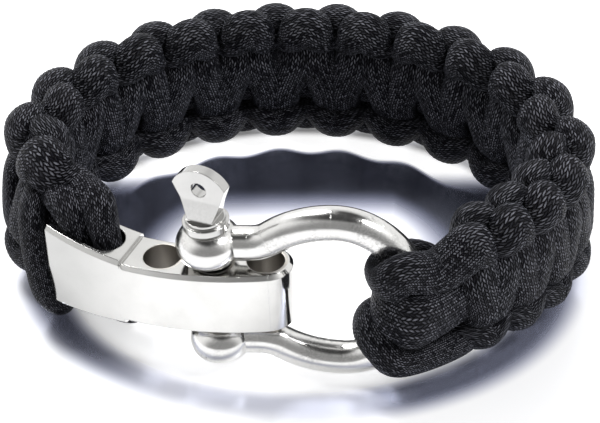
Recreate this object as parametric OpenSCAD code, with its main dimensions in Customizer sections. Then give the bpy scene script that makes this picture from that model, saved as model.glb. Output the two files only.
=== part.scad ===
// Paracord bracelet lying on its side: a cobra-woven band round the wrist hollow,
// closed in front by an adjuster bar, a bow shackle and a screw pin.
// Millimetres. +X runs along the clasp, +Y from the clasp to the back, +Z up from the floor.

/* [Ring] */
// Half the width of the ring, to the middle of the band
ring_half_w = 36.5; // [34:0.5:39]
// Reach of the ring behind its widest line
ring_back = 32.5; // [30:0.5:36]
// Reach of the ring in front of its widest line
ring_front = 23.8; // [22:0.2:25]
// How much further the front reaches on its right than on its left, as a share
ring_skew = 0.25; // [0.2:0.01:0.3]
// How much the front draws in towards the sides, as a share
ring_taper = 0.35; // [0.3:0.01:0.4]
// Bearing of the band's end beside the adjuster bar
band_left_angle = 212; // [210:1:214]
// Bearing of the band's end beside the shackle
band_right_angle = -55; // [-57:1:-53]
// Bearing of the bow's crown
crown_angle = -66; // [-68:1:-64]
// Distance of the bow's crown outside the band's middle line
crown_out = 0.2; // [-0.5:0.1:0.6]
// Tilt of the ring, with its front raised
ring_tilt = 2; // [0:0.5:3]
// Lean of the band's back, with its lower edge outwards
lean_back = 11; // [0:1:14]

/* [Woven band] */
// Height of the band, across its knots
band_h = 23; // [21:0.2:24]
// Thickness of the band, through its knots
band_t = 9; // [8:0.1:10]
// Length of band that one half knot takes
half_knot = 4.85; // [4.5:0.05:5.4]
// Swell of each edge loop beyond the band's mean outline
edge_relief = 1; // [0.3:0.1:1.2]
// Depth of the grooves between the crossing strands
face_relief = 0.35; // [0:0.05:0.5]
// Start of the weave past the band's end, as a share of a half knot
weave_start = 0.45; // [0:0.05:1]

/* [Cord] */
// Diameter of one strand where it is drawn tight
cord_d = 4; // [3.4:0.1:4.4]
// Thickness of a strand where it is pulled flat against the metal
cord_flat = 3; // [2.6:0.1:3.6]
// Clearance between a strand and the metal or the band
cord_gap = 0.3; // [0.2:0.05:0.5]

/* [Adjuster bar] */
// Radius of the bar's middle line in plan
bar_radius = 37; // [34:0.5:42]
// Thickness of the bar, front to back
bar_t = 7.1; // [6.8:0.1:7.6]
// Height of the bar where it carries the holes
bar_h = 9.4; // [9:0.1:10]
// Height by which the head stands above and below the bar at the step
head_step = 0.5; // [0.3:0.1:1]
// Flare of the head's upper and lower faces towards the cord end
head_flare = 6; // [3:0.5:9]
// Length of the head, from the step to the cord end
head_len = 10.9; // [10.6:0.1:11.4]
// Distance from the last hole's middle to the step
step_setback = 4.4; // [4.2:0.1:5]
// Distance from one hole to the next
hole_pitch = 6.75; // [6.5:0.05:7]
// Clearance of the holes round a shank, on the radius
hole_gap = 0.45; // [0.4:0.05:0.5]
// Width of the cord slot
slot_w = 5; // [4.8:0.1:5.2]
// Thickness of the wall that the cord is looped over
end_wall = 1.2; // [1:0.1:1.4]
// Distance from the step to the slot
slot_setback = 1.1; // [0.9:0.1:1.3]
// Bevel along the edges of the bar
bar_bevel = 0.5; // [0.2:0.1:0.8]
// Heading of the bar at its middle hole
bar_heading = -6; // [-8:0.2:-5]
// Roll of the bar, with the round end up
bar_roll = 2; // [1:0.5:3]

/* [Bow shackle] */
// Diameter of the bow's rod
rod_d = 4.5; // [4.2:0.1:5]
// Half the height of the bow, to the middle of its rod
bow_half_h = 11.1; // [10.8:0.1:11.6]
// Distance from the pin to the bow's tallest place
bow_reach = 16; // [15.6:0.1:16.4]
// Distance from the bow's tallest place on to the middle of the crown
crown_rise = 9.8; // [9.4:0.1:10.2]
// Radius of the bow's shoulders, as a share of that distance
shoulder_share = 0.867; // [0.84:0.003:0.88]
// Length of the straight neck from the pin
neck_len = 5.2; // [5:0.1:5.6]
// Radius of the bend between a neck and its arm
neck_bend = 5; // [4:0.1:6]
// Diameter of the ears
ear_d = 8.5; // [8:0.1:9]
// Thickness of each ear
ear_t = 5.6; // [5.2:0.1:5.8]
// Clearance between the bar and each ear
ear_gap = 0.1; // [0.1:0.05:0.3]
// Heading of the bow in plan, turned towards the front
bow_heading = -7; // [-10:0.5:-5]
// Roll of the shackle and its pin, with the bow end up
bow_roll = 4.5; // [4:0.5:5]

/* [Screw pin] */
// Diameter of the pin's shank
pin_d = 4; // [3.8:0.1:4.1]
// Running clearance of the shank in the ears, on the radius
pin_gap = 0.05; // [0.05:0.01:0.1]
// Diameter of the collar
collar_d = 6; // [5.6:0.1:6.4]
// Height of the collar
collar_h = 0.9; // [0.7:0.1:1.2]
// Diameter of the step on the collar
collar_step_d = 5.2; // [4.8:0.1:5.6]
// Height of the step on the collar
collar_step_h = 0.6; // [0.4:0.1:1]
// Width of the finger tab
tab_w = 7.3; // [7:0.1:7.8]
// Width of the tab's foot
tab_foot_w = 3.4; // [3:0.1:4]
// Height of the finger tab above the collar
tab_h = 7.1; // [6.8:0.1:7.6]
// Height of the tab's corners above the collar
tab_corner_h = 4.8; // [4.4:0.1:5.2]
// Thickness of the finger tab
tab_t = 1.5; // [1.3:0.1:1.8]
// Thickness of the tab's foot
tab_foot_t = 3.2; // [2.6:0.1:3.6]
// Height of the taper from the foot to the tab
tab_taper_h = 2.6; // [2.2:0.1:3]
// Diameter of the hole in the tab
tab_hole_d = 2.1; // [1.8:0.1:2.4]
// Height of the hole above the collar
tab_hole_h = 4.3; // [4.1:0.1:4.6]
// Turn of the tab about the pin, away from the bow's plane
tab_turn = -18; // [-60:2:60]
// Distance of the shank's end inside the lower ear
shank_recess = 0.3; // [0:0.1:1]

/* [Hidden] */

$fn = 64;
eps = 0.02;
seam_lap = 0.3;
// Height of a cutter or a block that passes right through the bar
tall = 3 * bar_h;
cord_color = "#17181d";
polished = "#d9dbdd";
cast = "#c3c6c9";

// Band path: an egg whose bearing runs from the bar, over the back, to the shackle
function ring_reach(a) = sin(a) > 0 ? ring_back
    : ring_front * (1 + ring_skew * cos(a) - ring_taper * pow(cos(a), 2));
function ring_xy(a) = [ring_half_w * cos(a), ring_reach(a) * sin(a)];
function ring_rise(a) = (ring_back - ring_xy(a)[1]) * tan(ring_tilt);
function ring_lean(a) = lean_back * (1 + sin(a)) / 2;
function unit(v) = v / norm(v);

path_steps = 180;
path_angles = [for (i = [0:path_steps])
    band_left_angle + (band_right_angle - band_left_angle) * i / path_steps];
path_table = [for (i = 0, run = 0; i <= path_steps;
    run = i < path_steps ? run + norm(ring_xy(path_angles[i + 1]) - ring_xy(path_angles[i])) : run,
    i = i + 1) [run, path_angles[i]]];
band_len = path_table[path_steps][0];
half_knots = round(band_len / half_knot);

function angle_at(s) = lookup(s, path_table);
function heading_at(a) = unit(ring_xy(a - 0.5) - ring_xy(a + 0.5));
function outward_at(a) = let (h = heading_at(a)) [-h[1], h[0]];

function band_rise(a, t, w) = ring_rise(a) + w * cos(ring_lean(a)) + t * sin(ring_lean(a));

// A point of the band: s along it, t outwards and w up its section
function band_point(s, t, w) = let (
    a = angle_at(s),
    lean = ring_lean(a),
    out = outward_at(a),
    xy = ring_xy(a) + out * (t * cos(lean) - w * sin(lean)))
    [xy[0], xy[1], back_z + band_rise(a, t, w)];

crown_reach = bow_reach + crown_rise;
shoulder_radius = shoulder_share * crown_rise;

// Clasp frame: its origin is where the pin's axis meets the mid-plane of the shackle
bow_dir = [cos(bow_heading), sin(bow_heading)];
crown_xy = ring_xy(crown_angle) + outward_at(crown_angle) * crown_out;
pin_xy = crown_xy - bow_dir * crown_reach * cos(bow_roll);
// The pin leans in the bar, so the ears stand off by what their faces dip
pin_lean = bow_roll - bar_roll;
ear_seat = (bar_h / 2 + ear_gap) / cos(pin_lean) + ear_d / 2 * tan(pin_lean);
ear_mid = ear_seat + ear_t / 2;
ear_top = ear_seat + ear_t;
hole_d = pin_d + 2 * hole_gap;

// Places along the bar, counted from its middle hole towards the round end
step_at = -hole_pitch - step_setback;
head_at = step_at - head_len;
slot_from = head_at + end_wall;
slot_to = step_at - slot_setback;

// Bow, from each ear: straight neck, bend, arm, shoulder and half of the crown
arm_turn = 2 * atan((bow_half_h - ear_mid) / (bow_reach - neck_len));
arm_radius = (bow_reach - neck_len) / sin(arm_turn) - neck_bend;
shoulder_z = bow_half_h - shoulder_radius;
crown_radius = (pow(crown_rise, 2) + pow(shoulder_z, 2) - pow(shoulder_radius, 2))
    / (2 * (crown_rise - shoulder_radius));
crown_half_turn = atan2(shoulder_z, bow_reach - crown_reach + crown_radius);

// Every other stretch of the rod is a hair fuller; the lower arm rests on the floor
full_d = rod_d + 2 * eps;
clasp_z = arm_radius + full_d / 2 + (bow_half_h - arm_radius) * cos(bow_roll)
    - bow_reach * sin(bow_roll);

// A point of the clasp in the shared frame, from its own frame's heading and roll
function clasp_point(p, heading, roll) = let (
    x = p[0] * cos(roll) - p[2] * sin(roll),
    z = p[0] * sin(roll) + p[2] * cos(roll))
    [pin_xy[0] + x * cos(heading) - p[1] * sin(heading),
     pin_xy[1] + x * sin(heading) + p[1] * cos(heading),
     clasp_z + z];
function bow_point(u, v, z) = clasp_point([u, v, z], bow_heading, bow_roll);
function bar_point(s, v, z) = let (turn = turn_of(s), r = bar_radius - v)
    clasp_point([r * sin(turn), bar_radius - r * cos(turn), z], bar_heading, bar_roll);
function turn_of(len) = len / bar_radius * 180 / PI;

module in_bow() {
    in_frame() translate([pin_xy[0], pin_xy[1], clasp_z])
        rotate([0, 0, bow_heading]) rotate([0, -bow_roll, 0]) children();
}
module in_bar() {
    in_frame() translate([pin_xy[0], pin_xy[1], clasp_z])
        rotate([0, 0, bar_heading]) rotate([0, -bar_roll, 0]) children();
}

// Solid through rings of equal count, closed by a fan at each end
module lofted(rings) {
    n = len(rings[0]);
    m = len(rings);
    middles = [for (r = [rings[0], rings[m - 1]]) [for (k = [0:2]) sum_of(r, k) / n]];
    points = concat([for (r = rings) each r], middles);
    sides = [for (i = [0:m - 2], j = [0:n - 1]) let (k = (j + 1) % n) each [
        [i * n + j, (i + 1) * n + k, i * n + k],
        [i * n + j, (i + 1) * n + j, (i + 1) * n + k]]];
    caps = [for (j = [0:n - 1]) let (k = (j + 1) % n) each [
        [m * n, j, k],
        [m * n + 1, (m - 1) * n + k, (m - 1) * n + j]]];
    polyhedron(points, concat(sides, caps));
}
function sum_of(list, k, i = 0) = i == len(list) ? 0 : list[i][k] + sum_of(list, k, i + 1);

// Bends of the strands are drawn in steps of this turn
turn_step = 30;

// Strand of oval section along a route: broad along wide_way and thick across it
function tube_rings(route, broad, thick, wide_way, sides = 8) = [
    for (i = [0:len(route) - 1]) let (
        ahead = unit(route[min(i + 1, len(route) - 1)] - route[max(i - 1, 0)]),
        across = unit(cross(wide_way, ahead)),
        wide = cross(ahead, across))
    [for (j = [0:sides - 1]) let (a = 360 * (j + 0.5) / sides)
        route[i] + across * cos(a) * thick / 2 + wide * sin(a) * broad / 2]];

// Section of the band: a rounded oblong whose edges swell and whose faces are grooved
section_sides = 24;
sections_per_knot = 4;
section_squareness = 0.5;
function rounded(c) = sign(c) * pow(abs(c), section_squareness);
function weave_turn(s) = 180 * (s * half_knots / band_len - weave_start);
function relief(s, a) = edge_relief * sin(2 * a) * cos(weave_turn(s))
    - face_relief * pow(cos(a), 2) * cos(2 * weave_turn(s));
function section_offset(s, a) = let (r = relief(s, a)) [
    (band_t / 2 - face_relief) * rounded(cos(a)) + r * cos(a),
    (band_h / 2 - edge_relief / 2) * rounded(sin(a)) + r * sin(a)];
section_steps = half_knots * sections_per_knot;
section_places = [for (i = [0:section_steps]) band_len * i / section_steps];
section_angles = [for (j = [0:section_sides - 1]) 360 * j / section_sides];

// The lowest edge loop at the back rests on the floor
back_z = -min([for (s = section_places, a = section_angles)
    let (o = section_offset(s, a)) band_rise(angle_at(s), o[0], o[1])]);

band_rings = [for (s = section_places)
    [for (a = section_angles) let (o = section_offset(s, a)) band_point(s, o[0], o[1])]];

module woven_band() {
    color(cord_color) in_frame() lofted(band_rings);
}

// Strands leave the band's end in two columns, short of its face
leg_t = band_t / 4;
leg_gap = cord_gap + cord_d / 3;
function end_point(s, t, w) = let (
    a = angle_at(s),
    clear = s > 0 ? leg_gap : -leg_gap)
    band_point(s, t, w) + [heading_at(a)[0], heading_at(a)[1], 0] * clear;

// Loops round the bow's crown, fanned out: bearings on the crown in front and behind,
// slack as a share of the strand, and the heights, as shares of the band's, where the
// legs meet the band
crown_rows = [
    // front bearing, back bearing, slack, front leg, back leg
    [36, 22, 0, 0.28, 0.1],
    [0, -10, 0, 0, -0.12],
    [-36, -42, 0.2, -0.28, -0.33]];
wrap_r = rod_d / 2 + cord_gap + cord_flat / 2;
function crown_arc_point(bearing, out, side) = bow_point(
    crown_reach - crown_radius + (crown_radius + out) * cos(bearing), side,
    (crown_radius + out) * sin(bearing));
function crown_route(row) = let (
    front = end_point(band_len, leg_t, row[3] * band_h),
    back = end_point(band_len, -leg_t, row[4] * band_h),
    ahead = acos(wrap_r / norm(front - crown_arc_point(row[0], 0, 0))))
    concat([front],
        [for (a = [-ahead:-turn_step:-360 + ahead]) crown_arc_point(
            row[0] + (row[1] - row[0]) * (a + ahead) / (2 * ahead - 360),
            (wrap_r + row[2] * cord_d * max(0, -cos(a))) * cos(a), wrap_r * sin(a))],
        [back]);
function rod_way(bearing) = unit(crown_arc_point(bearing + 1, 0, 0) - crown_arc_point(bearing - 1, 0, 0));
crown_rings = [for (row = crown_rows)
    tube_rings(crown_route(row), cord_d, cord_flat, rod_way((row[0] + row[1]) / 2))];

// The frame's origin lies under the middle of the object's box
box_spots = concat([for (ring = band_rings) each ring], [for (rings = crown_rings, ring = rings) each ring]);
function middle_of(k) = let (list = [for (p = box_spots) p[k]]) (min(list) + max(list)) / 2;
origin_xy = [middle_of(0), middle_of(1)];
module in_frame() { translate([-origin_xy[0], -origin_xy[1], 0]) children(); }

module crown_loops() {
    color(cord_color) in_frame() for (rings = crown_rings) lofted(rings);
}

// Loops through the bar's slot: both strands lie side by side along it, pressed narrow,
// and turn over the wall behind it
slot_turn_r = slot_w / 2;
slot_strand_t = (cord_flat + cord_d) / 2;
strand_setback = cord_gap + slot_strand_t / 2;
slot_rows = [
    // place along the slot, then shares of the band: column, upper height, lower height
    [slot_from + strand_setback, 0.12, 0.3, -0.4],
    [slot_to - strand_setback, -0.42, 0.3, -0.4]];
function head_half_h(s) = bar_h / 2 + head_step + (step_at - s) * tan(head_flare);
function level(v) = unit([v[0], v[1], 0]);
function over_wall(row, leg, side) = let (
    mouth = bar_point(row[0], 0, side * (head_half_h(head_at) + cord_gap + slot_strand_t / 2)),
    away = level(leg - mouth) * slot_turn_r)
    [for (a = [90:-turn_step:0])
        mouth + away * (1 - cos(a)) - [0, 0, side * slot_turn_r * (1 - sin(a))]];
function slot_route(row) = let (
    top = end_point(0, row[1] * band_t, row[2] * band_h),
    low = end_point(0, row[1] * band_t, row[3] * band_h),
    down = over_wall(row, top, 1),
    up = over_wall(row, low, -1))
    concat([top], down, [for (i = [len(up) - 1:-1:0]) up[i]], [low]);
function slot_wide_way(row) = cross(level(end_point(0, row[1] * band_t, 0) - bar_point(row[0], 0, 0)),
    [0, 0, 1]);

module slot_loops() {
    color(cord_color) in_frame() for (row = slot_rows)
        lofted(tube_rings(slot_route(row), cord_flat, slot_strand_t, slot_wide_way(row)));
}

// Curved bar stock about the bar's centre, through a profile, from one length to another
module bar_sweep(from, to) {
    translate([0, bar_radius, 0]) rotate([0, 0, -90 + turn_of(from)])
        rotate_extrude(angle = turn_of(to - from)) translate([bar_radius, 0]) children();
}
// Bevelled oblong profile; its height runs along the second axis
module bevelled(t, h, b) {
    polygon([
        [-t / 2, -h / 2 + b], [-t / 2 + b, -h / 2], [t / 2 - b, -h / 2], [t / 2, -h / 2 + b],
        [t / 2, h / 2 - b], [t / 2 - b, h / 2], [-t / 2 + b, h / 2], [-t / 2, h / 2 - b]]);
}
module at_bar(s) {
    translate([0, bar_radius, 0]) rotate([0, 0, turn_of(s)]) translate([0, -bar_radius, 0]) children();
}
// Head block whose upper face rises from the step to the cord end
module head_half() {
    at_bar(step_at) rotate([0, head_flare, 0])
        translate([0, 0, bar_h / 2 + head_step - tall / 2])
        translate([0, bar_radius, 0]) rotate([0, 0, -90 - turn_of(2 * head_len)])
        rotate_extrude(angle = turn_of(3 * head_len)) translate([bar_radius, 0])
        bevelled(bar_t, tall, bar_bevel);
}
module head() {
    intersection() {
        head_half();
        mirror([0, 0, 1]) head_half();
        bar_sweep(head_at, step_at) square([2 * bar_t, tall], center = true);
    }
}
module slot() {
    ends = [slot_from + slot_w / 2, slot_to - slot_w / 2];
    bar_sweep(ends[0], ends[1]) square([slot_w, tall], center = true);
    for (s = ends) at_bar(s) cylinder(d = slot_w, h = tall, center = true);
}
module adjuster_bar() {
    color(polished) in_bar() difference() {
        union() {
            bar_sweep(step_at - bar_bevel, hole_pitch) bevelled(bar_t, bar_h, bar_bevel);
            // The round end is a hair slimmer than the stock, so that no face meets edge on
            at_bar(hole_pitch) rotate_extrude() intersection() {
                bevelled(bar_t - 2 * eps, bar_h - 2 * eps, bar_bevel);
                translate([0, -bar_h]) square([bar_t, 2 * bar_h]);
            }
            head();
        }
        for (k = [-1:1])
            at_bar(k * hole_pitch) cylinder(d = hole_d, h = tall, center = true);
        slot();
    }
}

// Rod along an arc in the shackle's plane, from one bearing to another
module rod_arc(u, z, radius, from, to, d) {
    translate([u, 0, z]) rotate([90, 0, 0]) rotate([0, 0, from])
        rotate_extrude(angle = to - from) translate([radius, 0]) circle(d = d);
}
// The neighbours of each fuller stretch run a little into it
function lap(radius) = seam_lap / radius * 180 / PI;
module ear() {
    rotate_extrude() {
        translate([0, -ear_t / 2]) square([ear_d / 2 - ear_t / 2, ear_t]);
        intersection() {
            translate([ear_d / 2 - ear_t / 2, 0]) circle(d = ear_t);
            translate([0, -ear_t]) square([ear_d, 2 * ear_t]);
        }
    }
}
module arm() {
    translate([0, 0, ear_mid]) rotate([0, 90, 0]) cylinder(d = full_d, h = neck_len);
    rod_arc(neck_len, ear_mid + neck_bend, neck_bend, -90 - lap(neck_bend),
        -90 + arm_turn + lap(neck_bend), rod_d);
    rod_arc(bow_reach, bow_half_h - arm_radius, arm_radius, 90, 90 + arm_turn, full_d);
    rod_arc(bow_reach, shoulder_z, shoulder_radius, crown_half_turn - lap(shoulder_radius),
        90 + lap(shoulder_radius), rod_d);
    translate([0, 0, ear_mid]) ear();
}
module bow_shackle() {
    color(cast) in_bow() difference() {
        union() {
            rod_arc(crown_reach - crown_radius, 0, crown_radius, -crown_half_turn, crown_half_turn, full_d);
            arm();
            mirror([0, 0, 1]) arm();
        }
        cylinder(d = pin_d + 2 * pin_gap, h = 3 * ear_top, center = true);
    }
}

// Pin: shank through both ears, two-step collar and a flat finger tab
collar_z = ear_top + pin_gap;
tab_z = collar_z + collar_h + collar_step_h;
tab_top_r = (pow(tab_w / 2, 2) + pow(tab_h - tab_corner_h, 2)) / (2 * (tab_h - tab_corner_h));
module tab_face() {
    polygon([
        [-tab_foot_w / 2, -eps], [tab_foot_w / 2, -eps],
        [tab_w / 2, tab_corner_h], [-tab_w / 2, tab_corner_h]]);
    intersection() {
        translate([0, tab_h - tab_top_r]) circle(r = tab_top_r);
        translate([-tab_w / 2, tab_corner_h - eps]) square([tab_w, tab_h]);
    }
}
module tab_side() {
    polygon([
        [-tab_foot_t / 2, -eps], [tab_foot_t / 2, -eps],
        [tab_t / 2, tab_taper_h], [tab_t / 2, tab_h],
        [-tab_t / 2, tab_h], [-tab_t / 2, tab_taper_h]]);
}
module tab() {
    difference() {
        intersection() {
            rotate([90, 0, 0]) linear_extrude(tab_w, center = true) tab_face();
            rotate([90, 0, 90]) linear_extrude(2 * tab_w, center = true) tab_side();
        }
        translate([0, 0, tab_hole_h]) rotate([90, 0, 0])
            cylinder(d = tab_hole_d, h = 2 * tab_t, center = true);
    }
}
module screw_pin() {
    color(polished) in_bow() {
        translate([0, 0, shank_recess - ear_top])
            cylinder(d = pin_d, h = ear_top - shank_recess + collar_z + eps);
        translate([0, 0, collar_z]) cylinder(d = collar_d, h = collar_h);
        translate([0, 0, collar_z]) cylinder(d = collar_step_d, h = collar_h + collar_step_h);
        translate([0, 0, tab_z]) rotate([0, 0, tab_turn]) tab();
    }
}

woven_band();
crown_loops();
slot_loops();
adjuster_bar();
bow_shackle();
screw_pin();
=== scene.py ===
"""Paracord bracelet on its side: its cords, its steel's looks, and the floor, light and
camera of the photograph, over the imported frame."""
import math

import bpy
import numpy as np
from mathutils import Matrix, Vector


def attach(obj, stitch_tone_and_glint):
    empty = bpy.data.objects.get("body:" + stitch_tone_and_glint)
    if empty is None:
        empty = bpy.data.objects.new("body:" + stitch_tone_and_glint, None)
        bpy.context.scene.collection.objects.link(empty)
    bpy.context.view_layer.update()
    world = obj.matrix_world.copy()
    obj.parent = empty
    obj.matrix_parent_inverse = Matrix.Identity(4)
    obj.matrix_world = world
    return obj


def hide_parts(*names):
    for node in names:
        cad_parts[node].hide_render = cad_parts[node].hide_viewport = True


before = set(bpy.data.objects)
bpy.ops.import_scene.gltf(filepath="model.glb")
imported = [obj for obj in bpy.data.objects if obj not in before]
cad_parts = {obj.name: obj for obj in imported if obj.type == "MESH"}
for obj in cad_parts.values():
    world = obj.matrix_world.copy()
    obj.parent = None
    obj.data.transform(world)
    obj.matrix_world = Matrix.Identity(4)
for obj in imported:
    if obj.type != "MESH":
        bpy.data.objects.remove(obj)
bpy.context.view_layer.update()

MM = 0.001

# Camera: the photograph's framing, in millimetres, degrees and pixels
VIEW_TARGET = (0.277, -8.023, 12.0)
VIEW_ELEVATION = 37.5
VIEW_DISTANCE = 226.0
IMAGE_W = 600
FOCAL_PX = 1645.0
SENSOR_W = 36.0
CLIP_NEAR, CLIP_FAR = 10.0, 10000.0


def add_camera():
    data = bpy.data.cameras.new("camera")
    data.sensor_fit = "HORIZONTAL"
    data.sensor_width = SENSOR_W
    data.lens = FOCAL_PX / IMAGE_W * SENSOR_W
    data.clip_start = CLIP_NEAR * MM
    data.clip_end = CLIP_FAR * MM
    cam = bpy.data.objects.new("camera", data)
    bpy.context.collection.objects.link(cam)
    e = math.radians(VIEW_ELEVATION)
    back = Vector((0.0, -math.cos(e), math.sin(e)))
    cam.location = (Vector(VIEW_TARGET) + back * VIEW_DISTANCE) * MM
    cam.rotation_euler = back.to_track_quat("Z", "Y").to_euler()
    bpy.context.scene.camera = cam


# Ring of the band, as in the part's source: an egg whose bearing runs from the bar,
# over the back, to the shackle (mm, degrees)
RING_HALF_W = 36.5
RING_BACK = 32.5
RING_FRONT = 23.8
RING_SKEW = 0.25
RING_TAPER = 0.35
BAND_LEFT = 212.0
BAND_RIGHT = -55.0
RING_TILT = 2.0
LEAN_BACK = 11.0
HALF_KNOTS = 30
ORIGIN = np.array([0.0233189, 5.03423, 0.0])
BACK_Z = 11.4811
PATH_STEPS = 720
HEADING_STEP = 0.5


def ring_xy(a):
    a = np.radians(np.asarray(a, float))
    c, s = np.cos(a), np.sin(a)
    front = RING_FRONT * (1 + RING_SKEW * c - RING_TAPER * c * c)
    reach = np.where(s > 0, RING_BACK, front)
    return np.stack([RING_HALF_W * c, reach * s], -1)


PATH_ANGLES = BAND_LEFT + (BAND_RIGHT - BAND_LEFT) * np.arange(PATH_STEPS + 1) / PATH_STEPS
PATH_PARTS = np.linalg.norm(np.diff(ring_xy(PATH_ANGLES), axis=0), axis=1)
PATH_RUNS = np.concatenate([[0.0], np.cumsum(PATH_PARTS)])
BAND_LEN = PATH_RUNS[-1]
HALF_KNOT = BAND_LEN / HALF_KNOTS


def band_frame(s):
    """Middle of the band at length s, its level outward way, its upward way and how far
    it leans, as a share of the lean at the back. Places in the band are s along it, t
    outward and w upward from its middle."""
    s = np.asarray(s, float)
    over = s - np.clip(s, 0, BAND_LEN)
    a = np.interp(s, PATH_RUNS, PATH_ANGLES)
    h = ring_xy(a - HEADING_STEP) - ring_xy(a + HEADING_STEP)
    h /= np.linalg.norm(h, axis=-1, keepdims=True)
    xy = ring_xy(a) + h * over[..., None]
    rise = (RING_BACK - xy[..., 1]) * math.tan(math.radians(RING_TILT))
    share = (1 + np.sin(np.radians(a))) / 2
    lean = np.radians(LEAN_BACK * share)
    out = np.stack([-h[..., 1], h[..., 0], 0 * share], -1)
    up = np.stack([h[..., 1] * np.sin(lean), -h[..., 0] * np.sin(lean), np.cos(lean)], -1)
    middle = np.stack([xy[..., 0], xy[..., 1], BACK_Z + rise], -1) - ORIGIN
    return middle, out, up, share


def unit(v):
    return v / np.linalg.norm(v, axis=-1, keepdims=True)


# Clasp, as in the part's source
PIN_XY = (-10.6213, -19.7501)
CLASP_Z = 12.1244
BOW_HEADING, BOW_ROLL = -7.0, 4.5
BAR_HEADING, BAR_ROLL, BAR_RADIUS = -6.0, 2.0, 37.0
CROWN_REACH, CROWN_RADIUS = 25.8, 11.748
HOLE_PITCH = 6.75


def clasp_point(x, y, z, heading, roll):
    h, r = math.radians(heading), math.radians(roll)
    along = x * math.cos(r) - z * math.sin(r)
    rise = x * math.sin(r) + z * math.cos(r)
    return np.array([PIN_XY[0] + along * math.cos(h) - y * math.sin(h),
                     PIN_XY[1] + along * math.sin(h) + y * math.cos(h),
                     CLASP_Z + rise]) - ORIGIN


def bar_point(s, v, z):
    """Place on the bar: s along its curve from the pin, v behind its middle surface, z up."""
    turn = s / BAR_RADIUS
    r = BAR_RADIUS - v
    return clasp_point(r * math.sin(turn), BAR_RADIUS - r * math.cos(turn), z,
                       BAR_HEADING, BAR_ROLL)


def crown_point(bearing, out, side):
    """Place beside the bow's crown: out from its centre line and to the side of its plane."""
    b = math.radians(bearing)
    along = CROWN_REACH - CROWN_RADIUS + (CROWN_RADIUS + out) * math.cos(b)
    return clasp_point(along, side, (CROWN_RADIUS + out) * math.sin(b), BOW_HEADING, BOW_ROLL)


# A cord's row is a place, a normal, a width, a thickness and a stretch, in these columns
PLACE, NORMAL = slice(0, 3), slice(3, 6)
WIDE, THICK, STRETCH = 6, 7, 8

# Braided sheath: its UV map counts millimetres of unstretched cord and turns about it.
# Every other point of a ring stands proud, in a chequer, as the carriers of a braid do.
RING_STEP = 0.28
SHEATH_SIDES = 36
SHEATH_RELIEF = 0.045
END_ROUND = 1.6
END_FLAT = 0.02


def strand(name, rows):
    """Cord along its rows, with rounded ends."""
    rows = np.asarray(rows, float)
    parts = np.linalg.norm(np.diff(rows[:, PLACE], axis=0), axis=1)
    parts = parts * 2 / (rows[1:, STRETCH] + rows[:-1, STRETCH])
    runs = np.concatenate([[0.0], np.cumsum(parts)])
    n = int(runs[-1] / RING_STEP) + 1
    at = RING_STEP * np.arange(n)
    even = np.stack([np.interp(at, runs, column) for column in rows.T], -1)
    path = even[:, PLACE]
    ahead = unit(np.gradient(path, axis=0))
    side = unit(np.cross(ahead, even[:, NORMAL]))
    normal = np.cross(side, ahead)
    from_end = np.clip(np.minimum(at, at[-1] - at) / END_ROUND, END_FLAT, 1)
    close = np.sqrt(1 - (1 - from_end) ** 2)[:, None]
    a = 2 * math.pi * np.arange(SHEATH_SIDES) / SHEATH_SIDES
    proud = (np.arange(n)[:, None] + np.arange(SHEATH_SIDES)) % 2 - 0.5
    across = (even[:, WIDE, None] / 2 * close + SHEATH_RELIEF * proud) * np.cos(a)
    through = (even[:, THICK, None] / 2 * close + SHEATH_RELIEF * proud) * np.sin(a)
    rings = path[:, None] + side[:, None] * across[..., None] + normal[:, None] * through[..., None]
    return ring_mesh(name, rings, at)


def ring_mesh(name, rings, runs):
    """Closed smooth mesh over rings of points, with its UV map."""
    n, m = rings.shape[:2]
    i, j = np.meshgrid(np.arange(n - 1), np.arange(m), indexing="ij")
    k = (j + 1) % m
    quads = np.stack([i * m + j, i * m + k, (i + 1) * m + k, (i + 1) * m + j], -1)
    faces = quads.reshape(-1, 4).tolist()
    faces += [list(range(m))[::-1], [(n - 1) * m + c for c in range(m)]]
    u = np.stack([runs[i], runs[i], runs[i + 1], runs[i + 1]], -1)
    v = np.stack([j, j + 1, j + 1, j], -1) / m
    turns = np.arange(m) / m
    start = np.stack([np.full(m, runs[0]), turns[::-1]], -1)
    end = np.stack([np.full(m, runs[-1]), turns], -1)
    uvs = np.concatenate([np.stack([u, v], -1).reshape(-1, 2), start, end])
    mesh = bpy.data.meshes.new(name)
    mesh.from_pydata((rings.reshape(-1, 3) * MM).tolist(), [], faces)
    layer = mesh.uv_layers.new(name="braid")
    layer.data.foreach_set("uv", uvs.ravel())
    mesh.polygons.foreach_set("use_smooth", [True] * len(mesh.polygons))
    mesh.update()
    obj = bpy.data.objects.new(name, mesh)
    bpy.context.collection.objects.link(obj)
    return obj


# Cobra weave: strand a runs along the outer edges and crosses inside, strand b the other
# way about. Turn u counts half knots from WEAVE_START of one along the band. They draw
# closer together beside the shackle, to CLOSE_KNOT mm each.
STEPS_PER_KNOT = 60
STRAND_A_TURNS = (-1.3, 32.0)
STRAND_B_TURNS = (-0.62, 32.2)
TURNS_FROM, TURNS_TO = -3, 35
WEAVE_START = 0.45
CLOSE_FROM, CLOSE_OVER, CLOSE_KNOT = 23.0, 4.0, 3.12
# Depth of the crests and of the crossings, and how a strand sways along the band
WEAVE_DEPTH = 2.2
CROSS_DEPTH = 2.7
WEAVE_SQUARE = 0.15
WEAVE_BACKTRACK = 0.43
WEAVE_SLANT = 0.1
CREST_PINCH = 0.05
# Reach of the crests up and down from a shifted middle, by length along the band
WEAVE_REACHES = ((0, 9.2), (20, 9.7), (105, 9.7), (125, 8.7), (143, 8.1))
WEAVE_SHIFTS = ((0, 0.9), (20, 1.1), (105, 1.1), (125, 0.2), (143, -0.5))
# Outside of the weave set lower than its inside, where the band leans
EDGE_SHEAR, TOP_SHEAR = 0.46, -0.09
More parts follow.
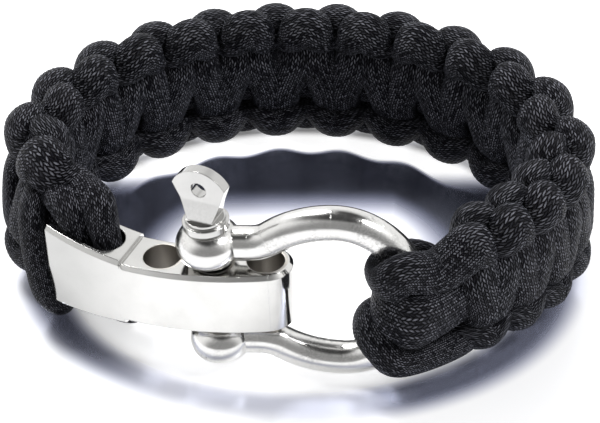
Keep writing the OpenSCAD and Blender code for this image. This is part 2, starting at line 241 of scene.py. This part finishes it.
# Small moves of the foot, at the band's lower edge, and of the head, at its upper edge
EDGE_POWER = 4
FOOT_INWARD = 1.0
FOOT_TUCK, HEAD_TUCK = 0.9, 0.3
FOOT_LIFT = 0.25
EDGE_TILT = 1.1
# Section of the cord on a crest and where it crosses, and the swell beside the bar's end
CREST_WIDE, CREST_THICK = 6.1, 4.5
CROSS_WIDE, CROSS_THICK = 5.7, 3.4
CROSS_STRETCH = 1.5
FIRST_SWELL, FIRST_SWELL_TURNS = 0.9, 0.45

KNOT_TURNS = np.linspace(TURNS_FROM, TURNS_TO, (TURNS_TO - TURNS_FROM) * STEPS_PER_KNOT + 1)
KNOT_EASE = np.clip((KNOT_TURNS - CLOSE_FROM) / CLOSE_OVER, 0, 1)
KNOT_RATES = HALF_KNOT + (CLOSE_KNOT - HALF_KNOT) * KNOT_EASE * KNOT_EASE * (3 - 2 * KNOT_EASE)
KNOT_PARTS = (KNOT_RATES[1:] + KNOT_RATES[:-1]) / 2
KNOT_PLACES = np.concatenate([[0.0], np.cumsum(KNOT_PARTS)]) / STEPS_PER_KNOT
KNOT_PLACES += HALF_KNOT * (WEAVE_START + TURNS_FROM)


def table(at, pairs):
    """Value at a length, between the pairs of length and value."""
    return np.interp(at, [p[0] for p in pairs], [p[1] for p in pairs])


def weave_rows(turns, flip):
    """Rows of a weaving strand over its turns; flip 1 is strand a and -1 is strand b."""
    first, last = turns
    u = np.linspace(first, last, int((last - first) * STEPS_PER_KNOT) + 1)
    turn = 2 * np.pi * u
    rate = np.interp(u, KNOT_TURNS, KNOT_RATES)
    wander = (WEAVE_BACKTRACK * np.sin(turn) - CREST_PINCH * np.sin(2 * turn)
              - flip * WEAVE_SLANT * np.sin(np.pi * u))
    s = np.interp(u, KNOT_TURNS, KNOT_PLACES) + rate * wander
    depth = (1 + WEAVE_SQUARE) * np.cos(turn) - WEAVE_SQUARE * np.cos(3 * turn)
    t = flip * (WEAVE_DEPTH * depth - (CROSS_DEPTH - WEAVE_DEPTH) * (1 - np.cos(turn)) / 2)
    edge = flip * np.cos(np.pi * u)
    foot = np.clip(-edge, 0, 1) ** EDGE_POWER
    head = np.clip(edge, 0, 1) ** EDGE_POWER
    outside = np.clip(t / WEAVE_DEPTH, 0, 1)
    inside = np.clip(-t / WEAVE_DEPTH, 0, 1)
    t -= FOOT_INWARD * foot * inside
    t -= (FOOT_TUCK * foot + HEAD_TUCK * head) * outside
    middle, out, up, share = band_frame(s)
    w = (edge * table(s, WEAVE_REACHES) + table(s, WEAVE_SHIFTS)
         - (EDGE_SHEAR + TOP_SHEAR * edge) * share * t / WEAVE_DEPTH)
    w += FOOT_LIFT * foot
    path = middle + out * t[:, None] + up * w[:, None]
    at_edge = np.cos(turn) * 0.5 + 0.5
    normal = unit(out * (t / WEAVE_DEPTH)[:, None] + up * (edge * EDGE_TILT * at_edge)[:, None])
    swell = FIRST_SWELL * np.sqrt(np.clip(1 - np.abs(u) / FIRST_SWELL_TURNS, 0, 1))
    wide = CROSS_WIDE + (CREST_WIDE - CROSS_WIDE) * at_edge + swell
    thick = CROSS_THICK + (CREST_THICK - CROSS_THICK) * at_edge + swell
    stretch = CROSS_STRETCH + (1 - CROSS_STRETCH) * at_edge
    return np.column_stack([path, normal, wide, thick, stretch])


def cord_row(place, normal, wide, thick):
    """Row of a cord that isn't stretched."""
    return np.concatenate([place, normal, [wide, thick, 1.0]])


def band_station(s, t, w, lean, wide, thick):
    """Station at a place of the band, its normal leaning from outward to upward."""
    middle, out, up, _ = band_frame(s)
    normal = out * math.cos(math.radians(lean)) + up * math.sin(math.radians(lean))
    return cord_row(middle + out * t + up * w, normal, wide, thick)


def crown_station(bearing, angle, radius, wide, thick):
    """Station round the crown's rod, its normal away from the rod's centre line."""
    a = math.radians(angle)
    place = crown_point(bearing, radius * math.cos(a), radius * math.sin(a))
    return cord_row(place, unit(place - crown_point(bearing, 0, 0)), wide, thick)


def station(place, normal, wide, thick):
    """Station at a place given."""
    return cord_row(place, unit(np.asarray(normal, float)), wide, thick)


SPLINE_STEPS = 24


def through_stations(stations):
    """Smooth rows through a few of them."""
    p = np.asarray(stations, float)
    p = np.vstack([2 * p[0] - p[1], p, 2 * p[-1] - p[-2]])
    rows = []
    t = (np.arange(SPLINE_STEPS) / SPLINE_STEPS)[:, None]
    for i in range(1, len(p) - 2):
        a, b, c, d = p[i - 1:i + 3]
        rows.append(0.5 * (2 * b + (c - a) * t + (2 * a - 5 * b + 4 * c - d) * t ** 2
                           + (3 * b - a - 3 * c + d) * t ** 3))
    return np.vstack(rows + [p[-2:-1]])


def joined(rows, stations):
    """Rows that run on smoothly through stations, from where they end."""
    before = rows[-1 - STEPS_PER_KNOT // 6]
    more = through_stations(np.vstack([before, rows[-1]] + stations))
    return np.vstack([rows[:-1], more[SPLINE_STEPS:]])


# Loops round the bow's crown. Their cords end inside the band, at LOOP_IN.
LOOP_IN = BAND_LEN - 4.0
WRAP_RADIUS = 3.95
WRAP_ANGLES = (-75, -120, -160, -200, -240, -285)
TOP_LEG_SAG = 1.8


def crown_wrap(front, back, proud, wide, thick, slack=0.0):
    """Stations round the crown's rod, from bearing front to bearing back. They stand proud
    of the common radius, and inside the bow they have some slack too."""
    stations = []
    for angle in WRAP_ANGLES:
        share = (WRAP_ANGLES[0] - angle) / (WRAP_ANGLES[0] - WRAP_ANGLES[-1])
        bulge = slack * max(0.0, -math.cos(math.radians(angle)))
        stations.append(crown_station(front + (back - front) * share, angle,
                                      WRAP_RADIUS + proud + bulge, wide, thick))
    return stations


def top_strand():
    """Strand a, which runs on from its last crest as the upper loop."""
    rows = weave_rows(STRAND_A_TURNS, 1)
    wrap = crown_wrap(30, 12, 0.0, 5.8, 2.9)
    leg = (rows[-1] + wrap[0]) / 2
    leg[2] -= TOP_LEG_SAG
    return joined(rows, [leg] + wrap + [
        band_station(BAND_LEN + 1.0, -2.4, 1.6, 180, 4.4, 3.6),
        band_station(LOOP_IN, -1.4, 1.0, 180, 4.4, 3.6)])


def middle_loop():
    return through_stations([
        band_station(LOOP_IN, 0.4, -0.6, 0, 5.0, 3.4),
        band_station(BAND_LEN + 0.6, 1.2, -1.2, 0, 7.4, 3.6)]
        + crown_wrap(-6, -10, 0.1, 8.4, 3.2) + [
        band_station(BAND_LEN + 1.0, -2.0, -2.4, 180, 4.6, 3.4),
        band_station(LOOP_IN, -1.2, -2.4, 180, 4.4, 3.4)])


def low_loop():
    return through_stations([
        band_station(LOOP_IN, 0.2, -6.8, 0, 4.4, 3.4),
        band_station(BAND_LEN + 0.8, 1.4, -8.3, 0, 4.4, 3.8)]
        + crown_wrap(-38, -42, 0.35, 4.8, 3.6, 0.3) + [
        band_station(BAND_LEN + 1.0, -2.0, -7.0, 180, 4.4, 3.6),
        band_station(LOOP_IN, -1.0, -6.0, 180, 4.4, 3.6)])


# Loops through the bar's slot, side by side, over the wall behind it. Each goes from the
# band's end over the wall, as place, share of upward in its normal, width and thickness.
# Then it drops through the slot and back under the wall: v, z and dip of the normal.
BAR_FRONT = np.array([-0.57, -0.82, 0.0])
UP = np.array([0.0, 0.0, 1.0])
SLOT_DROP = ((0.0, 3.5, 0), (0.2, -3.0, 0), (0.5, -6.6, 0.6), (3.2, -8.0, 3))
# Width and thickness in the slot, and lean, width and thickness at both ends
SLOT_CORD = (4.0, 3.4)
SLOT_START, SLOT_END = (60, 4.2, 3.6), (-80, 4.2, 3.4)


def slot_loop(s, start, over, end):
    """Loop at length s of the bar, from its start to its end in the band."""
    rows = [band_station(*start, *SLOT_START)]
    rows += [station(place, UP * lift + BAR_FRONT * (1 - lift), wide, thick)
             for place, lift, wide, thick in over]
    rows += [station(bar_point(s, v, z), BAR_FRONT - UP * dip, *SLOT_CORD)
             for v, z, dip in SLOT_DROP]
    rows += [band_station(*end, *SLOT_END)]
    return through_stations(rows)


def end_loop():
    return slot_loop(-18.85, (2.0, 0.6, 5.0), (
        ((-32.2, -12.8, 19.4), 0.9, 4.2, 3.8),
        ((-31.0, -15.4, 19.9), 0.85, 4.6, 4.0),
        ((-29.7, -17.4, 19.4), 0.5, 4.6, 4.0),
        ((-28.7, -18.3, 17.0), 0.15, 4.2, 3.7)), (2.0, 0.4, -6.5))


def front_loop():
    return slot_loop(-14.5, (2.0, -1.6, 4.6), (
        ((-29.2, -12.4, 19.8), 0.9, 4.4, 4.0),
        ((-27.6, -14.9, 20.4), 0.9, 4.9, 4.2),
        ((-26.0, -17.4, 20.1), 0.6, 4.9, 4.2),
        ((-25.1, -19.5, 17.6), 0.2, 4.3, 3.9)), (2.0, -2.4, -6.5))


def side_cord():
    """Cord of the last knot that runs down beside the bar's end."""
    side = np.array([-0.8, -0.6, 0.0])
    return through_stations([
        band_station(3.5, 0.6, 6.5, 40, 4.2, 3.6),
        station((-34.9, -14.6, 18.2), side + UP * 0.6, 4.0, 3.6),
        station((-35.0, -16.4, 14.5), side, 4.4, 3.6),
        station((-34.6, -16.9, 9.5), side, 4.4, 3.8),
        station((-34.0, -16.9, 5.2), side - UP * 0.3, 4.4, 3.8),
        station((-32.6, -15.6, 2.6), side - UP * 1.5, 4.2, 3.6),
        band_station(3.0, 0.2, -7.4, -60, 4.2, 3.6)])


# Core cords inside the weave, at the same height above and below the band's middle
CORE_HEIGHT = 2.1
CORE_FROM, CORE_TO = -1.0, BAND_LEN + 0.5
CORE_WIDE, CORE_THICK = 4.4, 2.6
CORE_ROWS = 200


def core_rows(w):
    return np.vstack([band_station(s, 0.0, w, 0, CORE_WIDE, CORE_THICK)
                      for s in np.linspace(CORE_FROM, CORE_TO, CORE_ROWS)])


class Nodes:
    """Small helper that adds and joins the nodes of a material or of the world."""

    def __init__(self, owner):
        owner.use_nodes = True
        self.owner = owner
        self.tree = owner.node_tree
        self.bsdf = self.tree.nodes.get("Principled BSDF")

    def add(self, kind, inputs=(), **settings):
        node = self.tree.nodes.new("ShaderNode" + kind)
        for key, value in settings.items():
            setattr(node, key, value)
        for key, value in dict(inputs).items():
            self.feed(node, key, value)
        return node

    def feed(self, node, key, value):
        if isinstance(value, bpy.types.NodeSocket):
            self.tree.links.new(value, node.inputs[key])
        else:
            node.inputs[key].default_value = value

    def math(self, operation, a, b=0.0, c=0.0):
        return self.add("Math", {0: a, 1: b, 2: c}, operation=operation).outputs[0]

    def product(self, value, *others):
        for other in others:
            value = self.math("MULTIPLY", value, other)
        return value

    def between(self, share, low, high):
        return self.math("MULTIPLY_ADD", share, high - low, low)

    def ramp(self, value, low, high, to_low=0.0, to_high=1.0, curve="LINEAR"):
        limits = {"Value": value, "From Min": low, "From Max": high,
                  "To Min": to_low, "To Max": to_high}
        return self.add("MapRange", limits, interpolation_type=curve).outputs[0]

    def smooth(self, value, low, high, to_low=0.0, to_high=1.0):
        return self.ramp(value, low, high, to_low, to_high, "SMOOTHSTEP")

    def blend(self, factor, low, high):
        node = self.add("Mix", data_type="RGBA")
        self.feed(node, "Factor", factor)
        self.feed(node, 6, low)
        self.feed(node, 7, high)
        return node.outputs[2]

    def noise(self, vector, scale, detail, rough):
        return self.add("TexNoise", {"Scale": scale, "Vector": vector, "Detail": detail,
                                     "Roughness": rough}).outputs[0]


# Noises: scale, detail and roughness, and the part of their range that matters
DRIFT_NOISE = (700.0, 2.0, 0.6)
FILAMENT_NOISE = (2.2, 2.0, 0.6)
DYE_NOISE = (260.0, 2.0, 0.5)
SCRATCH_NOISE = (1.0, 3.0, 0.6)
CLOUD_NOISE = (180.0, 3.0, 0.55)
FINE_NOISE = (3200.0, 2.0, 0.6)
PATCH_NOISE = (220.0, 2.0, 0.5)
WIDE_RANGE = (0.3, 0.7)

# Braid of the cord: stitches of this length in slanting columns, each with its own tone at random,
# partly painted glints, and a little drift and fine filaments, as shares of a stitch
STITCH = 0.4
BRAID_COLUMNS = 44
STITCH_SLANT = 0.75
STITCH_DRIFT = 0.25
STITCH_SHARPNESS = 0.6
FILAMENTS_ALONG, FILAMENTS_ABOUT = 0.7, 7.0
FILAMENT_HEIGHT = 0.12
FILAMENT_RANGE, FILAMENT_DARK = (0.35, 0.65), 0.7
STITCH_LIT_FROM, SHADE_FROM = 0.55, 0.1
STITCH_ROUGH, DYE_ROUGH = (0.36, 0.6), (-0.04, 0.06)
STITCH_DARK = (0.005, 0.005, 0.008, 1)
# Lightest stitch tone, partly a painted glint
STITCH_LIGHT_AND_PAINTED_GLINT = (0.165, 0.168, 0.193, 1)
# Painted shade in the grooves between the stitches
GROOVE_PAINTED_SHADE = (0.0008, 0.0008, 0.0014, 1)
CORD_SPECULAR = 0.05
SHEEN, SHEEN_BLUR, SHEEN_TINT = 0.02, 0.4, (0.75, 0.8, 1.0, 1)
CORD_BUMP = 0.2


def braid_pattern(n, place):
    """Height of the stitches, a chance for each and the filaments along them. A stitch is
    highest in its middle, and every other column slants the other way, half a stitch on."""
    parts = n.add("SeparateXYZ", {0: n.add("UVMap", uv_map="braid").outputs[0]})
    along = n.math("DIVIDE", parts.outputs[0], STITCH)
    about = n.math("MULTIPLY_ADD", parts.outputs[1], BRAID_COLUMNS, 0.5)
    column = n.math("FLOOR", about)
    c = n.math("SUBTRACT", n.math("FRACT", about), 0.5)
    odd = n.math("MODULO", column, 2.0)
    slant = n.math("MULTIPLY_ADD", odd, 2.0, -1.0)
    drift = n.between(n.noise(place, *DRIFT_NOISE), -STITCH_DRIFT, STITCH_DRIFT)
    shifted = n.math("ADD", n.math("ADD", along, drift), n.product(slant, c, STITCH_SLANT))
    phase = n.math("ADD", shifted, n.math("MULTIPLY_ADD", odd, 0.5, 0.5))
    row = n.math("FLOOR", phase)
    a = n.math("SUBTRACT", n.math("FRACT", phase), 0.5)
    fall = n.math("MULTIPLY_ADD", n.product(a, a), -4.0, 1.0)
    across = n.math("MULTIPLY_ADD", n.product(c, c), -4.0, 1.0)
    stitch = n.math("POWER", n.product(fall, across), STITCH_SHARPNESS)
    cell = n.add("CombineXYZ", {0: row, 1: column}).outputs[0]
    chance = n.add("TexWhiteNoise", {"Vector": cell}, noise_dimensions="2D").outputs["Value"]
    thread = n.add("CombineXYZ", {0: n.product(shifted, FILAMENTS_ALONG),
                                  1: n.product(about, FILAMENTS_ABOUT)}).outputs[0]
    return stitch, chance, n.noise(thread, *FILAMENT_NOISE)


def cord_material():
    n = Nodes(bpy.data.materials.new("braided_nylon"))
    place = n.add("TexCoord").outputs["Object"]
    stitch, chance, filament = braid_pattern(n, place)
    dye = n.noise(place, *DYE_NOISE)
    # Each stitch's tone at random, partly painted glints
    stitch_tone_and_glint = n.blend(n.ramp(chance, SHADE_FROM, 1.0), STITCH_DARK, STITCH_LIGHT_AND_PAINTED_GLINT)
    # Painted highlight on the stitches' crests and painted shade in the grooves between them,
    # dimmed along the filaments
    lit = n.product(n.ramp(stitch, STITCH_LIT_FROM, 1.0),
                    n.ramp(filament, *FILAMENT_RANGE, FILAMENT_DARK, 1.0))
    rough = n.math("ADD", n.ramp(chance, 0.0, 1.0, *STITCH_ROUGH),
                   n.ramp(dye, *WIDE_RANGE, *DYE_ROUGH))
    height = n.math("ADD", stitch, n.product(filament, FILAMENT_HEIGHT))
    bump = n.add("Bump", {"Strength": 1.0, "Distance": CORD_BUMP * MM, "Height": height})
    n.feed(n.bsdf, "Base Color", n.blend(lit, GROOVE_PAINTED_SHADE, stitch_tone_and_glint))
    n.feed(n.bsdf, "Roughness", rough)
    n.feed(n.bsdf, "Specular IOR Level", CORD_SPECULAR)
    n.feed(n.bsdf, "Sheen Weight", SHEEN)
    n.feed(n.bsdf, "Sheen Roughness", SHEEN_BLUR)
    n.feed(n.bsdf, "Sheen Tint", SHEEN_TINT)
    n.feed(n.bsdf, "Normal", bump.outputs[0])
    return n.owner


# Steel: clouds in its tone and gloss, fine scratches along x, pits that gather in
# patches, and softened edges
SCRATCH_SCALE = (60.0, 900.0, 900.0)
CLOUD_RANGE, CLOUD_TONE = (0.35, 0.65), 0.9
GLOSS_LEAST, GLOSS_MOST = 0.75, 1.35
PIT_RANGE, PATCH_RANGE = (0.42, 0.6), (0.5, 0.62)
PIT_BETWEEN_PATCHES = 0.15
PIT_TONE, PIT_ROUGH = 0.4, 0.25
EDGE_SOFT, EDGE_SAMPLES = 0.2, 4
STEEL_BUMP, STEEL_BUMP_SHARE = 0.04, 0.25
# The bar's tones, set to the photograph: dull bores, and painted shade that darkens its face
# towards the slot's end (mm from the part's middle, linear colours)
BORE_FULL, BORE_CLEAR = 2.62, 2.72
BORE_COLOR, BORE_ROUGH = (0.42, 0.4, 0.37, 1), 0.25
PAINTED_SHADE_END, PAINTED_SHADE_CLEAR, PAINTED_SHADE_SHARE = -31.0, -16.0, 0.62
PAINTED_SHADE_COLOR = (0.3, 0.3, 0.29, 1)


def toned(color, share=1.0):
    """Colour with a share of its brightness, and opaque."""
    return tuple(c * share for c in color) + (1,)


def bar_painted_shade_and_bores(n, place, shade, gloss):
    """The bar's painted shade, darker towards the slot's end, and its dull bores, over its shade
    and gloss.
    """
    x = n.add("SeparateXYZ", {0: place}).outputs[0]
    # Painted shade: the face darkens towards the slot's end
    shade = n.blend(n.smooth(x, PAINTED_SHADE_END * MM, PAINTED_SHADE_CLEAR * MM, PAINTED_SHADE_SHARE, 0.0), shade, PAINTED_SHADE_COLOR)
    level = n.add("VectorMath", {0: place, 1: (1, 1, 0)}, operation="MULTIPLY").outputs[0]
    inside = 0.0
    for hole in (-1, 0, 1):
        axis = bar_point(hole * HOLE_PITCH, 0, 0) * MM
        away = n.add("VectorMath", {0: level, 1: (axis[0], axis[1], 0)}, operation="DISTANCE")
        here = n.ramp(away.outputs["Value"], BORE_FULL * MM, BORE_CLEAR * MM, 1.0, 0.0)
        inside = n.math("MAXIMUM", inside, here)
    return n.blend(inside, shade, BORE_COLOR), n.math("MULTIPLY_ADD", inside, BORE_ROUGH, gloss)


def steel_material(name, color, rough, grain, pits, is_bar=False):
    """Steel of a colour and roughness, with its share of scratches and of pits."""
    n = Nodes(bpy.data.materials.new(name))
    place = n.add("TexCoord").outputs["Object"]
    stretched = n.add("Mapping", {"Vector": place, "Scale": SCRATCH_SCALE}).outputs[0]
    scratch = n.noise(stretched, *SCRATCH_NOISE)
    cloud = n.noise(place, *CLOUD_NOISE)
    fine = n.ramp(n.noise(place, *FINE_NOISE), *PIT_RANGE)
    patch = n.ramp(n.noise(place, *PATCH_NOISE), *PATCH_RANGE)
    pit = n.product(fine, n.between(patch, PIT_BETWEEN_PATCHES, 1.0))
    clouded = n.blend(n.ramp(cloud, *CLOUD_RANGE), toned(color, CLOUD_TONE), toned(color))
    shade = n.blend(n.product(pit, pits), clouded, toned(color, PIT_TONE))
    gloss = n.math("ADD", n.ramp(cloud, *WIDE_RANGE, rough * GLOSS_LEAST, rough * GLOSS_MOST),
                   n.product(pit, pits * PIT_ROUGH))
    # On the bar: painted shade towards the slot's end, and dull bores
    if is_bar:
        shade, gloss = bar_painted_shade_and_bores(n, place, shade, gloss)
    height = n.math("ADD", n.product(scratch, grain), n.product(pit, pits))
    edge = n.add("Bevel", {"Radius": EDGE_SOFT * MM}, samples=EDGE_SAMPLES).outputs[0]
    bump = n.add("Bump", {"Strength": STEEL_BUMP_SHARE, "Distance": STEEL_BUMP * MM,
                          "Height": height, "Normal": edge})
    n.feed(n.bsdf, "Base Color", shade)
    n.feed(n.bsdf, "Metallic", 1.0)
    n.feed(n.bsdf, "Roughness", gloss)
    n.feed(n.bsdf, "Normal", bump.outputs[0])
    return n.owner


# Floor: white, with a blurred mirror under and beside the ring. Where the mirror shows, its tint
# and the floor's glow are fitted to the reflection in the photograph, not to how a real floor
# reflects. They follow x and y in mm, and rho, the share of the way out from the ring's middle.
FLOOR_HALF = 3000.0
FLOOR_WHITE, FLOOR_ROUGH = (0.93, 0.93, 0.94, 1), 0.9
# Painted reflection: a blue tint in the floor's colour and glow where the mirror shows
MIRROR_PAINTED_TINT = (0.5, 0.54, 0.8, 1)
MIRROR_COLOR, MIRROR_BLUR = (0.8, 0.84, 1.0, 1), 0.24
MIRROR_MOST, MIRROR_LEAST = 0.98, 0.08
FLOOR_FRONT = 29.0
# The mirror's inner edge in front of the ring's middle and behind it, and the depth from
# which it fills the ring
BEHIND_FROM, BEHIND_FULL = -8.0, 0.0
NEAR_CLEAR, NEAR_FADE = 0.88, 0.09
BACK_CLEAR, BACK_FADE = 0.44, 0.25
DEEP_CLEAR, DEEP_FULL = 3.0, 13.5
# Its outer edge, a little further out on the right, and weaker in front under the clasp
OUTER_FULL, OUTER_CLEAR = 0.99, 1.12
RIGHT_FROM, RIGHT_FULL, RIGHT_OUT = -10.0, 15.0, 0.03
LEFT_SIDE, LEFT_MIDDLE, RIGHT_MIDDLE, RIGHT_SIDE = -34.0, -15.0, 5.0, 17.0
FRONT_MIDDLE, FRONT_SIDES = 0.4, 0.87
# Painted light: a bright strip on the floor under the band's back, with an edge scalloped like the
# weave's, and the floor's glow by itself, stronger inside the ring, that lifts the shadows on it
PAINTED_GAP_FROM, PAINTED_GAP_FULL = 11.0, 18.0
PAINTED_GAP_DARK, PAINTED_GAP_CLEAR, PAINTED_GAP_GLOW = 0.85, 0.89, 0.95
PAINTED_GAP_GLOW_FULL, PAINTED_GAP_GLOW_CLEAR = 0.98, 1.06
SCALLOP_LENGTH, SCALLOP_PHASE, SCALLOP_DEPTH = 9.9, 1.97, 0.018
GLOW_WITHIN, GLOW_BEYOND = 0.6, 0.12
GLOW_WITHIN_TO, GLOW_BEYOND_FROM = 0.84, 0.96


def floor_rho(n, x, y):
    """Share of the way out to an oval near the ring's centre line."""
    across = n.math("DIVIDE", x, RING_HALF_W * MM)
    y = n.math("ADD", y, ORIGIN[1] * MM)
    back = n.math("MAXIMUM", n.math("DIVIDE", y, RING_BACK * MM), 0.0)
    front = n.math("MINIMUM", n.math("DIVIDE", y, FLOOR_FRONT * MM), 0.0)
    along = n.math("ADD", back, front)
    return n.math("SQRT", n.math("ADD", n.product(across, across), n.product(along, along)))


def floor_gap(n, x, y, rho):
    """Where the painted bright strip under the band's back is."""
    turn = n.math("MULTIPLY_ADD", x, 2 * math.pi / (SCALLOP_LENGTH * MM), SCALLOP_PHASE)
    scalloped = n.math("MULTIPLY_ADD", n.math("COSINE", turn), -SCALLOP_DEPTH, rho)
    return n.product(n.smooth(scalloped, PAINTED_GAP_DARK, PAINTED_GAP_CLEAR),
                     n.smooth(y, PAINTED_GAP_FROM * MM, PAINTED_GAP_FULL * MM))


def floor_mirror(n, x, y, rho, gap):
    """Where the mirror shows: from its inner edge to its outer edge, but not in the painted bright
    strip.
    """
    behind = n.ramp(y, BEHIND_FROM * MM, BEHIND_FULL * MM)
    from_start = n.math("SUBTRACT", rho, n.between(behind, NEAR_CLEAR, BACK_CLEAR))
    edge = n.math("DIVIDE", from_start, n.between(behind, NEAR_FADE, BACK_FADE))
    deep = n.smooth(y, DEEP_CLEAR * MM, DEEP_FULL * MM)
    inner = n.math("MAXIMUM", n.smooth(edge, 0.0, 1.0), deep)
    right_out = n.ramp(x, RIGHT_FROM * MM, RIGHT_FULL * MM, 0.0, RIGHT_OUT)
    outer = n.smooth(n.math("SUBTRACT", rho, right_out), OUTER_FULL, OUTER_CLEAR, 1.0, 0.0)
    sides = n.math("MAXIMUM", n.smooth(x, LEFT_SIDE * MM, LEFT_MIDDLE * MM, 1.0, 0.0),
                   n.smooth(x, RIGHT_MIDDLE * MM, RIGHT_SIDE * MM))
    front = n.math("MAXIMUM", behind, n.between(sides, FRONT_MIDDLE, FRONT_SIDES))
    return n.product(inner, n.product(outer, front), n.math("SUBTRACT", 1.0, gap))


def floor_painted_glow(n, rho, gap):
    """How much painted light the floor gives off by itself, which lifts the shadows on it."""
    gap_glow = n.product(gap, n.smooth(rho, PAINTED_GAP_GLOW_FULL, PAINTED_GAP_GLOW_CLEAR, 1.0, 0.0), PAINTED_GAP_GLOW)
    return n.math("MAXIMUM", gap_glow,
                  n.smooth(rho, GLOW_WITHIN_TO, GLOW_BEYOND_FROM, GLOW_WITHIN, GLOW_BEYOND))


def floor_material():
    n = Nodes(bpy.data.materials.new("floor"))
    parts = n.add("SeparateXYZ", {0: n.add("TexCoord").outputs["Object"]})
    x, y = parts.outputs[0], parts.outputs[1]
    rho = floor_rho(n, x, y)
    gap = floor_gap(n, x, y, rho)
    mirror = floor_mirror(n, x, y, rho, gap)
    gloss = n.add("BsdfAnisotropic", {"Color": MIRROR_COLOR, "Roughness": MIRROR_BLUR})
    n.feed(n.bsdf, "Roughness", FLOOR_ROUGH)
    # Painted reflection: where the mirror shows, the floor's colour and glow take a blue tint
    n.feed(n.bsdf, "Base Color", n.blend(mirror, FLOOR_WHITE, MIRROR_PAINTED_TINT))
    n.feed(n.bsdf, "Emission Color", n.blend(mirror, (1, 1, 1, 1), MIRROR_PAINTED_TINT))
    # Painted light: the floor glows by itself, lifting the shadows on it
    n.feed(n.bsdf, "Emission Strength", floor_painted_glow(n, rho, gap))
    mix = n.add("MixShader", {0: n.between(mirror, MIRROR_LEAST, MIRROR_MOST),
                              1: n.bsdf.outputs[0], 2: gloss.outputs[0]})
    n.feed(n.tree.nodes["Material Output"], "Surface", mix.outputs[0])
    return n.owner


def add_floor():
    mesh = bpy.data.meshes.new("floor")
    r = FLOOR_HALF * MM
    mesh.from_pydata([(-r, -r, 0), (r, -r, 0), (r, r, 0), (-r, r, 0)], [], [(0, 1, 2, 3)])
    floor = bpy.data.objects.new("floor", mesh)
    bpy.context.collection.objects.link(floor)
    mesh.materials.append(floor_material())


# Square lights that face the bracelet: name, place, side and power (metres, watts)
LIGHTS = (("softbox", (-0.25, 0.3, 0.6), 0.2, 5), ("side", (0.35, -0.1, 0.5), 0.15, 2.5))


def add_light(name, loc, size, power):
    data = bpy.data.lights.new(name, "AREA")
    data.size = size
    data.energy = power
    obj = bpy.data.objects.new(name, data)
    bpy.context.collection.objects.link(obj)
    obj.location = loc
    obj.rotation_euler = Vector(loc).to_track_quat("Z", "Y").to_euler()


# Studio: white walls under a dark ceiling, dimmer on the camera's side, by the direction's
# z and y
WALL_LIGHT, CEILING_LIGHT, FRONT_SHARE = 1.3, 0.06, 0.3
WALL_TOP, CEILING_EDGE = 0.68, 0.88
FRONT_FULL, FRONT_CLEAR = -0.8, -0.2


def add_world():
    world = bpy.data.worlds.new("world")
    bpy.context.scene.world = world
    n = Nodes(world)
    way = n.add("SeparateXYZ", {0: n.add("TexCoord").outputs["Generated"]})
    walls = n.smooth(way.outputs[2], WALL_TOP, CEILING_EDGE, WALL_LIGHT, CEILING_LIGHT)
    front = n.smooth(way.outputs[1], FRONT_FULL, FRONT_CLEAR, FRONT_SHARE, 1.0)
    background = n.tree.nodes["Background"]
    n.feed(background, "Color", (1, 1, 1, 1))
    n.feed(background, "Strength", n.product(walls, front))


def add_cords():
    cord = cord_material()
    pieces = {
        "weave_strand_a": (top_strand(), ("woven_band", "crown_loops")),
        "weave_strand_b": (weave_rows(STRAND_B_TURNS, -1), ("woven_band",)),
        "weave_end_cord": (side_cord(), ("woven_band",)),
        "core_upper": (core_rows(CORE_HEIGHT), ("woven_band",)),
        "core_lower": (core_rows(-CORE_HEIGHT), ("woven_band",)),
        "crown_loop_middle": (middle_loop(), ("crown_loops",)),
        "crown_loop_low": (low_loop(), ("crown_loops",)),
        "slot_loop_end": (end_loop(), ("slot_loops",)),
        "slot_loop_front": (front_loop(), ("slot_loops",)),
    }
    for name, (rows, nodes) in pieces.items():
        piece = strand(name, rows)
        piece.data.materials.append(cord)
        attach(piece, "bracelet")
        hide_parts(*nodes)


def dress_steel():
    bar = steel_material("polished_steel_bar", (0.64, 0.636, 0.62), rough=0.09, grain=0.25,
                         pits=0.05, is_bar=True)
    pin = steel_material("polished_steel", (0.5, 0.496, 0.485), rough=0.12, grain=0.25, pits=0.1)
    bow = steel_material("cast_steel", (0.69, 0.685, 0.67), rough=0.17, grain=0.2, pits=0.4)
    for node, steel in (("adjuster_bar", bar), ("screw_pin", pin), ("bow_shackle", bow)):
        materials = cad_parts[node].data.materials
        materials.clear()
        materials.append(steel)


add_camera()
add_cords()
dress_steel()
add_floor()
for light in LIGHTS:
    add_light(*light)
add_world()
bpy.context.scene.view_settings.view_transform = "Standard"
